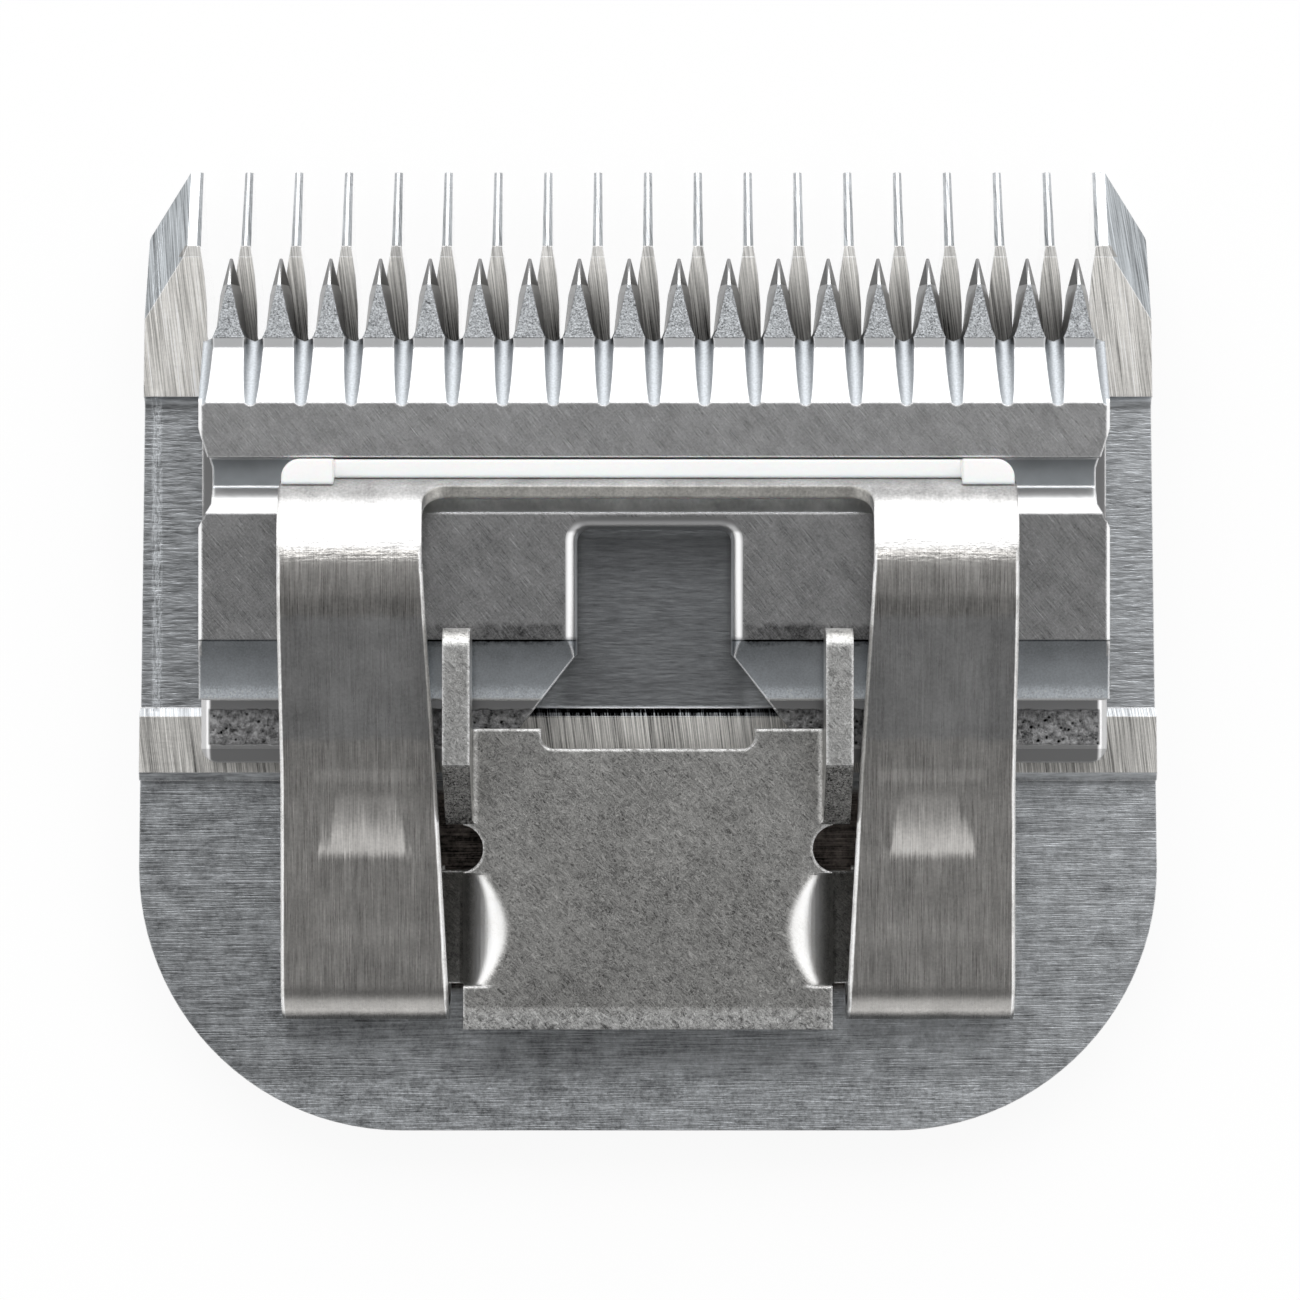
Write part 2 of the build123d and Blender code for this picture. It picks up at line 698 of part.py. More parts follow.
with BuildPart() as hinge_socket:
    bend_start_x = flange_mid_x - (web_mid_z - foot_mid_z) / 2
    lip_start_y = web_rear_y + socket_lip_turn
    with BuildSketch(Plane.XY.offset(web_z)):
        with BuildLine():
            Polyline(
                (0, web_front_y - socket_notch_depth),
                (socket_notch_width / 2, web_front_y - socket_notch_depth),
                (socket_notch_width / 2, web_front_y),
                (ear_mid_x - socket_bend_radius, web_front_y),
                (ear_mid_x - socket_bend_radius, ear_rear_y),
                (socket_web_half_width_rear, ear_rear_y),
                (socket_web_half_width_rear, flange_front_y),
                (bend_start_x, flange_front_y),
                (bend_start_x, flange_rear_y),
                (socket_web_half_width_rear, flange_rear_y),
                (socket_web_half_width_rear, lip_start_y),
                (0, lip_start_y),
            )
            mirror(about=Plane.YZ)
        web = make_face()
        notch = web.vertices().filter_by(lambda corner: abs(abs(corner.X) - socket_notch_width / 2) < fit_gap)
        fillet(notch.group_by(Axis.Y)[0], socket_notch_radius)
        fillet(notch.group_by(Axis.Y)[-1], socket_notch_mouth_radius)
    extrude(amount=socket_sheet)
    # The web's rear end is a lead-in lip, turned up slightly.
    with BuildSketch(Plane.YZ):
        Polygon(
            (lip_start_y, web_z),
            (lip_start_y, web_top_z),
            (web_rear_y, web_top_z + socket_lip_rise),
            (web_rear_y, web_z + socket_lip_rise),
            align=None,
        )
    extrude(amount=socket_web_half_width_rear, both=True)
    add(ear.part)
    add(flange.part)
    mirror(ear.part, about=Plane.YZ)
    mirror(flange.part, about=Plane.YZ)
    with Locations((-ear_mid_x, relief_y, web_mid_z), (ear_mid_x, relief_y, web_mid_z)):
        Cylinder(relief_radius, 2 * socket_sheet, mode=Mode.SUBTRACT)
hinge_socket.part.label = "hinge_socket"


# Screws: slotted cheese heads below, shanks up through comb and spring into the feet
screw_end_z = foot_z + socket_sheet + screw_end_length
screw_solids = {}
for side_name, x in (("left", -screw_x), ("right", screw_x)):
    with BuildPart() as screw:
        with BuildSketch(Plane.XY.offset(screw_head_recess)):
            with Locations((x, screw_y)):
                Circle(screw_head_diameter / 2)
        extrude(amount=screw_head_height)
        with BuildSketch(Plane.XY.offset(screw_seat_z)):
            with Locations((x, screw_y)):
                Circle(screw_diameter / 2)
        extrude(amount=screw_end_z - screw_seat_z)
        chamfer(screw.edges().group_by(Axis.Z)[0], screw_head_recess)
        with BuildSketch(Plane.XY.offset(screw_head_recess)):
            with Locations((x, screw_y)):
                Rectangle(screw_head_diameter, screw_slot_width)
        extrude(amount=screw_slot_depth, mode=Mode.SUBTRACT)
    screw.part.label = "screw_" + side_name
    screw_solids[screw.part.label] = screw.part


export_step(comb.part, "parts/comb.step")
export_step(cutter_finished.part, "parts/cutter.step")
export_step(tension_spring.part, "parts/tension_spring.step")
export_step(spring_guide.part, "parts/spring_guide.step")
export_step(hinge_socket.part, "parts/hinge_socket.step")
for name, solid in screw_solids.items():
    export_step(solid, "parts/" + name + ".step")
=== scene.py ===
# %% [markdown]
# A detachable hair clipper blade, seen from the side that faces the clipper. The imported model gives
# every solid its shape and place. This script gives the solids their ground, milled, rolled and
# moulded finishes, softens their edges, and lights and frames the set as a product photograph does.

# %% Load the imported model
import math

import bpy
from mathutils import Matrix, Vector

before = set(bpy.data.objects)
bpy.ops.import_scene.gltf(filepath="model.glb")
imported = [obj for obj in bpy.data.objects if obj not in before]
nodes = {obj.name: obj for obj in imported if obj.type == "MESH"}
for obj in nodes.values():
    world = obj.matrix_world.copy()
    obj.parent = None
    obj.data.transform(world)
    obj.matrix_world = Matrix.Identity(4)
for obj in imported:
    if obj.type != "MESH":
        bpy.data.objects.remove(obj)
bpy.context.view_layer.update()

MM = 0.001
print("nodes:", sorted(nodes))

# %% [markdown]
# The photograph was taken from straight above, with the teeth pointing up in the picture. The taller
# pieces look slightly larger than the comb, and how much larger says how far away the lens was:
# about 200 mm above the blade. A camera with no perspective would be simpler, but then the flats of
# the cutter would cover less of the comb than they do in the photograph. So the camera is put at that
# height and looks straight down.

# %% Camera
camera_height = 203.4 * MM
camera_x = 0.1 * MM
photo_width = 1300  # pixels
lens_to_film = 4072  # the same pixels
film_width = 36  # millimetres, as for any lens length in Blender

camera_data = bpy.data.cameras.new("camera")
camera_data.sensor_width = film_width
camera_data.lens = film_width * lens_to_film / photo_width
camera_data.clip_start = 0.01
camera_data.clip_end = 10
camera = bpy.data.objects.new("camera", camera_data)
camera.location = (camera_x, 0, camera_height)
camera.rotation_euler = (0, 0, 0)
bpy.context.scene.collection.objects.link(camera)
bpy.context.scene.camera = camera
bpy.context.scene.view_settings.view_transform = "Standard"
print("lens, mm:", round(camera_data.lens, 1))

# %% [markdown]
# Shader maths reads best as plain sums. `Value` wraps one output of a node, and its operators add the
# Math nodes, so a wear mask is written as `1 - mask * 0.5`. The masks are all made in one way: a soft
# step over an edge that is given in millimetres on the blade, or as a slope from -1 to 1.

# %% A value in a shader
class Value:
    def __init__(self, finish, socket):
        self.finish = finish
        self.socket = socket

    def math(self, operation, other=None):
        sockets = {0: self} if other is None else {0: self, 1: other}
        return self.finish.node("ShaderNodeMath", {"operation": operation}, sockets)

    def __add__(self, other):
        return self.math("ADD", other)

    __radd__ = __add__

    def __mul__(self, other):
        return self.math("MULTIPLY", other)

    __rmul__ = __mul__

    def __sub__(self, other):
        return self.math("SUBTRACT", other)

    def __neg__(self):
        return self * -1

    def __rsub__(self, other):
        return -self + other

    def __abs__(self):
        return self.math("ABSOLUTE")

    def above(self, edge, soft):
        """1 where the value is over the edge, 0 under it, with a soft step between."""
        return self.finish.node(
            "ShaderNodeMapRange",
            {"interpolation_type": "SMOOTHSTEP"},
            {"Value": self, "From Min": edge - soft / 2, "From Max": edge + soft / 2},
        )

    def below(self, edge, soft):
        """1 where the value is under the edge."""
        return 1 - self.above(edge, soft)

    def between(self, low, high, soft):
        """1 from low to high, with soft ends."""
        return self.above(low, soft) * self.below(high, soft)

    def past(self, edge):
        """How far the value is over the edge, and 0 under it."""
        return (self - edge).math("MAXIMUM", 0)

    def either(self, other):
        """1 where one mask or the other is."""
        return self.math("MAXIMUM", other)


print("operators ready")

# %% [markdown]
# `Finish` holds one material. Its `node` method makes any node from its settings and the values or
# links of its sockets. It also says where on the blade a point of the surface lies and which way it
# faces, because those two tell one ground face from the next.

# %% A finish is one material
class Finish:
    def __init__(self, name):
        self.name = name
        self.material = bpy.data.materials.new(name)
        self.material.use_nodes = True
        self.tree = self.material.node_tree
        self.tree.nodes.clear()

    def node(self, kind, settings=None, sockets=None, out=None):
        """A node of any type. Its settings come first, because they decide which sockets it has."""
        node = self.tree.nodes.new(kind)
        for name, setting in (settings or {}).items():
            setattr(node, name, setting)
        for name, value in (sockets or {}).items():
            if isinstance(value, Value):
                self.tree.links.new(value.socket, node.inputs[name])
            else:
                node.inputs[name].default_value = value
        if out is None:
            return Value(self, next(s for s in node.outputs if s.enabled))
        return Value(self, node.outputs[out])

    def split(self, vector):
        """The X, Y and Z of a vector."""
        outputs = self.node("ShaderNodeSeparateXYZ", {}, {0: vector}).socket.node.outputs
        return Value(self, outputs[0]), Value(self, outputs[1]), Value(self, outputs[2])

    def place(self):
        """The place on the blade in millimetres, and its X, Y and Z."""
        metres = self.node("ShaderNodeTexCoord", out="Object")
        point = self.node("ShaderNodeVectorMath", {"operation": "SCALE"}, {0: metres, "Scale": 1 / MM})
        return point, *self.split(point)

    def facing(self):
        """How far the surface faces right, to the teeth and up, each from -1 to 1."""
        return self.split(self.node("ShaderNodeNewGeometry", out="True Normal"))

    def finish_with(self, shader):
        output = self.tree.nodes.new("ShaderNodeOutputMaterial")
        self.tree.links.new(shader.socket, output.inputs["Surface"])

    def surface(self, colour, metallic, roughness, normal, **constants):
        """The Principled shader. What varies is linked, what doesn't is set on its own socket."""
        sockets = {"Base Color": colour, "Metallic": metallic, "Roughness": roughness, "Normal": normal}
        sockets.update(constants)
        self.finish_with(self.node("ShaderNodeBsdfPrincipled", {}, sockets))
        self.tell("whole finish")

    def tell(self, step):
        print(f"{self.name}, {step}: {len(self.tree.nodes)} nodes so far")


print("a finish makes nodes, places and slopes")

# %% [markdown]
# The blade lies on a white sweep. A camera would record a soft shadow there, and the photograph has
# almost none, so most of the floor's white is its own and the rest is lit. Stronger lamps would whiten
# the floor too, but they would burn out the steel.

# %% Floor
floor_half = 0.6
floor_gap = 0.02 * MM
corners = [(-1, -1), (1, -1), (1, 1), (-1, 1)]
floor_mesh = bpy.data.meshes.new("floor")
floor_mesh.from_pydata([(a * floor_half, b * floor_half, 0) for a, b in corners], [], [(0, 1, 2, 3)])
floor = bpy.data.objects.new("floor", floor_mesh)
floor.location.z = -floor_gap
bpy.context.scene.collection.objects.link(floor)

floor_glow = 0.9
sweep = Finish("white_sweep")
rays = sweep.node("ShaderNodeLightPath").socket.node.outputs
seen = Value(sweep, rays["Is Camera Ray"]).either(Value(sweep, rays["Is Glossy Ray"]))
seen = seen.either(Value(sweep, rays["Is Transmission Ray"]))
paper = sweep.node("ShaderNodeBsdfDiffuse", {}, {"Color": (0.95, 0.95, 0.95, 1)})
glow = sweep.node("ShaderNodeEmission", {}, {"Color": (1, 1, 1, 1), "Strength": 1.0})
sweep.finish_with(sweep.node("ShaderNodeMixShader", {}, {0: seen * floor_glow, 1: paper, 2: glow}))
floor_mesh.materials.append(sweep.material)
print("floor, mm across:", 2 * floor_half / MM)

# %% [markdown]
# Polished steel shows what is around it. In the photograph the flat tops are dark, slopes that face
# the teeth are white, slopes that face the rear are darker still, and steep side edges are white. So
# the dome over the blade is dim straight above, dimmer behind, and bright low down, with one large
# soft lamp beyond the teeth. It is a little brighter on the right, as the photograph is. A picture of
# a studio would do the same, but a few soft steps are easier to read and to change.

# %% The dome of the studio
overhead_light = 0.17
front_light = 1.1
left_light = 0.88
right_light = 0.9
rear_light = 0.4

world = bpy.data.worlds.new("studio")
bpy.context.scene.world = world
world.use_nodes = True
dome = Finish("dome")
bpy.data.materials.remove(dome.material)
dome.tree = world.node_tree
dome.tree.nodes.clear()
across, ahead, _ = dome.split(dome.node("ShaderNodeTexCoord", out="Generated"))
front = ahead.above(0.36, 0.4) * front_light
left = across.below(-0.46, 0.42) * left_light
right = across.above(0.42, 0.46) * right_light
rear = ahead.below(-0.8, 0.4) * rear_light
level = front.either(left).either(right).either(rear) + overhead_light
level = level.either(dome.node("ShaderNodeLightPath", out="Is Camera Ray"))
background = dome.node("ShaderNodeBackground", {}, {"Color": (1, 1, 1, 1), "Strength": level})
dome_output = dome.tree.nodes.new("ShaderNodeOutputWorld")
dome.tree.links.new(background.socket, dome_output.inputs["Surface"])
dome.tell("dim above, bright ahead and at the sides")

# %% Soft lamp beyond the teeth
softbox_data = bpy.data.lights.new("front_softbox", "AREA")
softbox_data.shape = "RECTANGLE"
softbox_data.size = 1.3
softbox_data.size_y = 0.9
softbox_data.energy = 5.5
softbox = bpy.data.objects.new("front_softbox", softbox_data)
softbox.location = Vector((0, 0.78, 0.62)).normalized()
softbox.rotation_euler = (-softbox.location).to_track_quat("-Z", "Y").to_euler()
bpy.context.scene.collection.objects.link(softbox)
print("softbox at, m:", [round(v, 2) for v in softbox.location])

# %% [markdown]
# Three kinds of helper serve every finish here: colours laid over each other, noise drawn out into the
# lines that a tool leaves, and edges that catch the light. They are plain functions, and each value
# that they are given knows its own material. Node groups could do the same, but a group hides from
# the reader what is linked to what.

# %% Colours laid over each other
def mix(low, high, factor):
    """One colour where the factor is 0 and another where it is 1."""
    low, high = [c if isinstance(c, Value) else (*c, 1) for c in (low, high)]
    sockets = {0: factor, 6: low, 7: high}
    return factor.finish.node("ShaderNodeMix", {"data_type": "RGBA"}, sockets, out=2)


def coats(base, *layers):
    """A base colour with others laid over it, each where its own mask is 1."""
    for colour, mask in layers:
        base = mix(base, colour, mask)
    return base


def shaded(colour, level):
    """A colour made lighter or darker by a level that varies over the surface."""
    colour = colour if isinstance(colour, Value) else (*colour, 1)
    grey = level.finish.node("ShaderNodeCombineColor", {}, {0: level, 1: level, 2: level})
    settings = {"data_type": "RGBA", "blend_type": "MULTIPLY"}
    return level.finish.node("ShaderNodeMix", settings, {0: 1.0, 6: colour, 7: grey}, out=2)


print("colours ready")

# %% Blotches and tool lines
def noise(point, scale=1.0, detail=2.0, rough=0.5, distortion=0.0):
    """Soft blotches. The scale is how many lie in a millimetre."""
    sockets = {"Vector": point, "Scale": scale, "Detail": detail, "Roughness": rough}
    sockets["Distortion"] = distortion
    return point.finish.node("ShaderNodeTexNoise", {"noise_dimensions": "3D"}, sockets, out=0)


def streaks(point, angle, length, pitch, detail=3.0, rough=0.6, seed=0.0):
    """Noise drawn out into lines: length along the lines and pitch across them, in millimetres."""
    sockets = {
        "Vector": point,
        "Location": (seed, seed * 1.7, 0),
        "Rotation": (0, 0, math.radians(angle)),
        "Scale": (length, pitch, length),
    }
    lined = point.finish.node("ShaderNodeMapping", {"vector_type": "TEXTURE"}, sockets)
    return noise(lined, 1.0, detail, rough)


def swing(*patterns):
    """Patterns added up, each swung about its own middle by its own amount."""
    total, *rest = [(pattern - 0.5) * amount for pattern, amount in patterns]
    for part in rest:
        total = total + part
    return total


print("patterns ready")

# %% Broken edges and relief
def rounded(finish, radius):
    """The normal once the edges are broken to a radius in millimetres, and how near an edge is."""
    soft = finish.node("ShaderNodeBevel", {"samples": 4}, {"Radius": radius * MM})
    true = finish.node("ShaderNodeNewGeometry", out="True Normal")
    dot = {"operation": "DOT_PRODUCT"}
    agree = finish.node("ShaderNodeVectorMath", dot, {0: soft, 1: true}, out="Value")
    return soft, (1 - agree).above(0.05, 0.07)


def bump(height, strength, distance, normal):
    """Marks as deep as a distance in millimetres, on a normal that is soft already."""
    sockets = {"Height": height, "Strength": strength, "Distance": distance * MM, "Normal": normal}
    return height.finish.node("ShaderNodeBump", {}, sockets)


print("relief ready")

# %% [markdown]
# The comb is one plate of hardened steel. Its recess and rear plate are milled, which leaves short
# lines across the blade that catch the light like an emboss. Its two lands and the teeth are surface
# ground, paler and warmer, with long fine lines that lean slightly. The bevels at its front corners
# are ground again, and shine blue-grey. Between the teeth the walls are polished white, and the walls
# round the outside are grey. Each face could have a material of its own, but the solid is one piece,
# so one material mixes the finishes by height, slope and place.

# %% Comb: where each finish lies
land_z = 3.85  # only the ground lands and the teeth are higher, in millimetres
tooth_z = 3.8
between_teeth_y = 14.0
inner_teeth_x = 24.2
neck_y = (19.26, 19.82)
plate_y = -6.2
ramp_y = (-6.42, -5.98)
cutter_x = 0.3  # the cutter rests this far to the right of the comb's middle

comb = Finish("comb_steel")
point, x, y, z = comb.place()
right, forward, up = comb.facing()
from_middle = abs(x)
from_cutter = abs(x - cutter_x)

land = z.above(land_z, 0.1) * up.above(0.99, 0.012)
tooth = z.above(tooth_z, 0.05)
corner_bevel = abs(right).above(0.4, 0.1) * up.above(0.5, 0.2)
neck = y.between(*neck_y, 0.03) * tooth
tooth_slope = forward.above(0.2, 0.1)
ground_all = land.either(corner_bevel).either(neck).either(tooth_slope)
wall = up.below(0.25, 0.2)
outer_wall = wall * (1 - y.above(between_teeth_y, 0.2) * from_middle.below(inner_teeth_x, 0.1))
plate = y.below(plate_y, 0.4)
ramp = y.between(*ramp_y, 0.02)
comb.tell("regions")

# %% Comb: what lies in the shade of other pieces
socket_x, socket_y = 10.4, (-16.6, -6.9)
slot_x, slot_y = 4.6, (-3.4, 5.7)
cutter_teeth_x, cutter_teeth_y = 21.5, 17.6
cutter_front_y = 14.3

under_socket = from_middle.below(socket_x, 0.4) * y.between(*socket_y, 0.6) * (1 - land)
in_slot = from_cutter.below(slot_x, 0.9) * y.between(*slot_y, 0.5) * (1 - land)
under_teeth = y.below(cutter_teeth_y, 4.4) * y.above(cutter_front_y, 0.2)
under_teeth = under_teeth * from_middle.below(cutter_teeth_x, 0.1) * tooth
comb.tell("shade")

# %% Comb: marks of the tools
milled = streaks(point, 0, 0.95, 0.115, 3.0, 0.65)
finer = streaks(point, 0.4, 2.6, 0.06, 3.0, 0.65, seed=2.3)
broad = streaks(point, 0, 9.0, 0.7, 2.0, 0.5, seed=3.1)
ground = streaks(point, -83, 4.5, 0.07, 3.0, 0.62, seed=5.3)
ground_soft = streaks(point, -80, 10.0, 0.5, 2.0, 0.5, seed=7.7)
scuff = streaks(point, 90, 0.7, 0.16, 4.0, 0.7, seed=1.3)
mottle = noise(point, 0.9, 4.0, 0.62)
speck = noise(point, 6.0, 3.0, 0.7)
lines = milled * (1 - plate) + finer * plate
left_scuff = x.between(-24.32, -23.88, 0.2) * y.above(-3.0, 0.1) * (1 - land) * scuff.above(0.5, 0.12)
rear_frost = (y - mottle * 2.4).below(-22.4, 1.0) * (speck - 0.38)
comb.tell("marks")

# %% Comb: painted shadow on the rear land's front edge and a painted glint, seen through the cutter's slot
slot_open = (from_cutter - (mottle - 0.5)).below(8.4, 0.1)
lip = y.between(-3.07, -2.85, 0.04) * 0.75 + y.between(-3.3, -3.07, 0.04) * 0.4
glint = (y + (speck - 0.5) * 0.12).between(-2.84, -2.74, 0.03) * mottle.above(0.35, 0.1)
lip_shade = (glint * 0.8 - lip) * slot_open
comb.tell("lip")

# %% Comb: how light each finish is
recess_shade = swing((milled, 1.7), (finer, 0.6), (broad, 0.5)) * (1 - in_slot * 0.7)
# Painted shade: the cove at the front of the recess is darker.
recess_shade = recess_shade - y.above(11.7, 0.3) * 0.1
plate_shade = swing((finer, 1.3), (mottle, 1.2), (speck, 0.8), (broad, 0.3)) - 0.2
# Painted light: the milled faces grow lighter towards the right, where the studio is brighter. The rear
# plate is painted dark under the socket, as shadow.
plate_shade = plate_shade - under_socket * 0.5 + rear_frost * 0.8 - x.above(-12, 24) * 0.03
milled_shade = recess_shade * (1 - plate) + plate_shade * plate + left_scuff * 0.34 + x * 0.006
ground_shade = swing((ground, 2.7), (ground_soft, 0.9), (speck, 0.3)) * (1 - under_teeth * 0.62)
ground_shade = ground_shade - y.below(0, 0.5) * 0.16 - under_teeth * 0.8 - corner_bevel * 0.12
shade = milled_shade * (1 - ground_all) + ground_shade * ground_all
# Painted shade: the ramp down to the rear plate faces the rear and is darker.
shade = shade - in_slot * 0.42 - ramp * 0.13 + lip_shade
shade = shade * (1 - wall) + 1
comb.tell("lightness")

# %% Comb: colours, relief and gloss
# The brown under the socket is painted shadow.
tone = coats(
    (0.515, 0.535, 0.555),
    ((0.76, 0.745, 0.715), land),
    ((0.36, 0.31, 0.28), under_socket),
    ((0.43, 0.455, 0.475), corner_bevel),
    ((0.345, 0.34, 0.33), neck),
    ((1.0, 1.0, 1.0), wall),
    ((0.36, 0.37, 0.38), outer_wall),
)
soft, edge = rounded(comb, 0.07)
# Near the edges the colour is painted near white: painted highlights.
colour = mix(shaded(tone, shade), (0.9, 0.9, 0.9), edge * (1 - wall))
roughness = land * 0.12 + swing((lines, 0.25)) - wall * 0.2 + 0.36
height = lines * (1 - ground_all) * (1 - in_slot * 0.55) + ground * ground_all * 0.6
height = (height + left_scuff * 0.6 + speck * plate * 0.3) * (1 - wall)
comb.surface(colour, 1.0, roughness, bump(height, 0.9, 0.028, soft))

# %% [markdown]
# The cutter is harder steel with several finishes in one piece. Its flats are ground on a slant, its
# bevel and the round gullets between its teeth are polished, the tops of its teeth are left speckled
# from hardening, the channel behind the flats is smooth and bluish, and the heel is as it was
# sintered, rough as a casting, with a smooth chamfer behind it. As on the comb, place and slope tell
# the finishes apart, which keeps them sharp at any distance. A painted picture would blur.

# %% Rows, pores and slow forms
def repeat(place, middle, pitch):
    """How far a place is from the nearest of a row of teeth, in millimetres."""
    return ((place - middle) * (1 / pitch)).math("FRACT") * pitch - pitch / 2


def cells(point, scale):
    """How far the nearest of many scattered points is."""
    sockets = {"Vector": point, "Scale": scale}
    return point.finish.node("ShaderNodeTexVoronoi", {"feature": "F1"}, sockets, out="Distance")


def form(height, normal):
    """A slow form, with its height in millimetres, too shallow to see in outline."""
    return bump(height, 1.0, 1.0, normal)


print("rows, pores and forms ready")

# %% Cutter: where each finish lies
top_z = 6.98
tooth_top_y = 15.18
band_y = (14.66, tooth_top_y)
gullet_y = (11.7, 15.6)
point_y = 17.82  # from here the teeth taper to their points
tooth_pitch = 2.435

cutter = Finish("cutter_steel")
point, x, y, z = cutter.place()
right, forward, up = cutter.facing()
from_cutter = abs(x - cutter_x)
waver = (noise(point, 1.6, 4.0, 0.7) - 0.5) * 0.5

top = z.above(top_z, 0.03) * up.above(0.99, 0.01)
polished = forward.above(0.3, 0.15)
bevel = forward.between(0.485, 0.535, 0.02) * abs(right).below(0.05, 0.05)
gullet = y.between(*gullet_y, 0.05) * polished * (1 - bevel)
tooth_top = y.above(tooth_top_y, 0.05) * up.above(0.9, 0.1)
tooth_band = y.between(*band_y, 0.04) * up.above(0.95, 0.05)
past_point = y.above(point_y, 0.02)
# Past the start of the points, all but a narrow ridge on each tooth is painted darker below: painted
# shade, which leaves a painted highlight on the ridge.
ridge = abs(repeat(x, cutter_x, tooth_pitch)).below(0.085, 0.03) * past_point
taper = past_point * (1 - ridge)
tooth_wall = up.below(0.6, 0.3) * y.above(14.9, 0.1)
cutter.tell("teeth and flats")

# %% Cutter: its slot, channel, groove and sides
mouth_x, mouth_y = (3.7, 4.36), (0.6, 5.7)
channel_y, channel_z = (-2.38, 0.5), 6.4
groove_y, groove_z = (7.85, 9.35), (6.0, 6.2)
groove_wall_x, groove_wall_y = 11.2, (6.55, 7.95)
side_x = 21.83

slot_mouth = from_cutter.between(*mouth_x, 0.04) * y.between(*mouth_y, 0.2) * up.below(0.985, 0.02)
channel = y.between(*channel_y, 0.05) * z.above(channel_z, 0.2) * (1 - top) * (1 - slot_mouth)
groove = y.between(*groove_y, 0.05) * z.between(*groove_z, 0.05)
groove_wall = y.between(*groove_wall_y, 0.02) * from_cutter.below(groove_wall_x, 0.4) * (1 - top)
ragged = (y + waver * 1.4).between(0.3, 1.2, 0.35)
ragged = ragged * from_cutter.below(11, 1.5) * from_cutter.above(4.4, 0.4)
side = from_cutter.above(side_x, 0.02) * z.above(6.8, 0.05)
cutter.tell("slot, channel, groove and sides")

# %% Cutter: its heel
heel_y, heel_z = (-4.78, -2.38), (5.3, 6)
sintered_y, sintered_x = (-4.6, -2.9), 21.62

heel = y.between(*heel_y, 0.02) * z.between(*heel_z, 0.2) * up.above(0.95, 0.05)
sintered = (y - waver * 0.5).between(*sintered_y, 0.12) * heel * from_cutter.below(sintered_x, 0.12)
heel_bevel = y.below(-4.8, 0.02) * z.below(5.6, 0.1)
heel_round = from_cutter.past(21.5) * y.below(-2.42, 0.02) * z.below(6.3, 0.1)
cutter.tell("heel")

# %% Cutter: marks of the tools
slant = streaks(point, -50, 1.0, 0.05, 3.0, 0.65, seed=4.1)
slant_soft = streaks(point, -52, 4.0, 0.5, 2.0, 0.5, seed=9.1)
cross = streaks(point, 42, 1.6, 0.05, 2.0, 0.6, seed=6.7)
scratch = slant.above(0.66, 0.06)
fleck = noise(point, 11.0, 3.0, 0.7)
mottle = noise(point, 0.7, 3.0, 0.6)
pits = noise(point, 3.0, 5.0, 0.75)
pores = cells(point, 2.7)
cutter.tell("marks")

# %% Cutter: how light each finish is
flat_shade = swing((slant, 0.9), (cross, 0.4), (slant_soft, 0.4), (mottle, 0.6), (fleck, 1.2))
flat_shade = flat_shade + scratch * 0.34 + y.above(9.0, 0.5) * 0.3 - 0.05
tooth_shade = swing((fleck, 3.8), (pits, 1.6)) * (1 - polished)
sintered_shade = swing((pits, 2.2)) - pores.below(0.2, 0.2) * 0.4 - 0.56
# Painted shade: the channel darkens towards its steep front wall.
channel_shade = swing((fleck, 0.7), (mottle, 0.4)) - (y + waver).above(-0.4, 1.5) * 0.42 + 0.12
channel_shade = channel_shade + (y - waver * 0.6).below(-1.8, 0.4) * (fleck - 0.3) * 1.4
channel_shade = channel_shade - y.above(0.42, 0.08) * 0.5
# Painted shade: the groove's floor is darker at its front, lighter towards its rear.
groove_shade = (9.1 - y) * 0.34 + swing((mottle, 0.5))
# Painted shade: the gullets darken where they turn to the sides.
gullet_shade = swing((fleck, 0.8)) - abs(right) * 0.28
groove_wall_shade = (y - (slant_soft - 0.5)).below(7.0, 0.7) * 0.22

shade = flat_shade * top + tooth_shade * tooth_top + sintered_shade * sintered
shade = shade + channel_shade * channel + groove_shade * groove + gullet_shade * gullet
# Painted shade: the chamfer behind the heel faces the rear and is darker.
shade = shade + heel * (1 - sintered) * 0.05 - heel_bevel * 0.3 - ragged * (pits * 1.1 - 0.1)
# Painted shade on the tapered faces of the points and on the walls of the teeth. The groove's rear wall
# darkens towards its rear edge.
shade = shade - taper * 0.5 - tooth_wall * 0.42 - groove_wall_shade * groove_wall + 1
cutter.tell("lightness")

# %% Cutter: colours, relief and gloss
soft, edge = rounded(cutter, 0.16)
edge = edge * (1 - polished) * y.below(11.5, 0.1) * (1 - y.between(6.1, 7.0, 0.1))
# Painted highlights: the cutter's sides, the mouth of its slot, its edges and the rounded side of the
# heel are painted near white.
painted_highlights = side.either(slot_mouth).either(edge).either(heel_round.above(0.12, 0.12))
tone = coats(
    (0.49, 0.49, 0.495),
    ((0.66, 0.665, 0.67), polished.either(side)),
    ((0.455, 0.48, 0.505), gullet),
    ((0.95, 0.97, 1.0), groove_wall),
    ((0.56, 0.595, 0.63), channel),
    ((0.385, 0.40, 0.415), tooth_top * (1 - polished)),
    ((0.74, 0.75, 0.76), tooth_band),
    ((0.455, 0.485, 0.51), groove),
    ((0.97, 0.97, 0.97), painted_highlights),
)
roughness = swing((slant, 0.2)) * top + tooth_top * 0.12 + sintered * 0.16
roughness = roughness - polished * 0.1 + gullet * 0.22 + 0.3
height = slant * top * 0.3 + fleck * tooth_top * 0.8 + fleck * channel * 0.15
height = height + (pits * 1.6 + pores) * sintered * 2.0 + swing((slant_soft, 0.2)) * polished
turned = form(heel_round * heel_round * -1.6, soft)
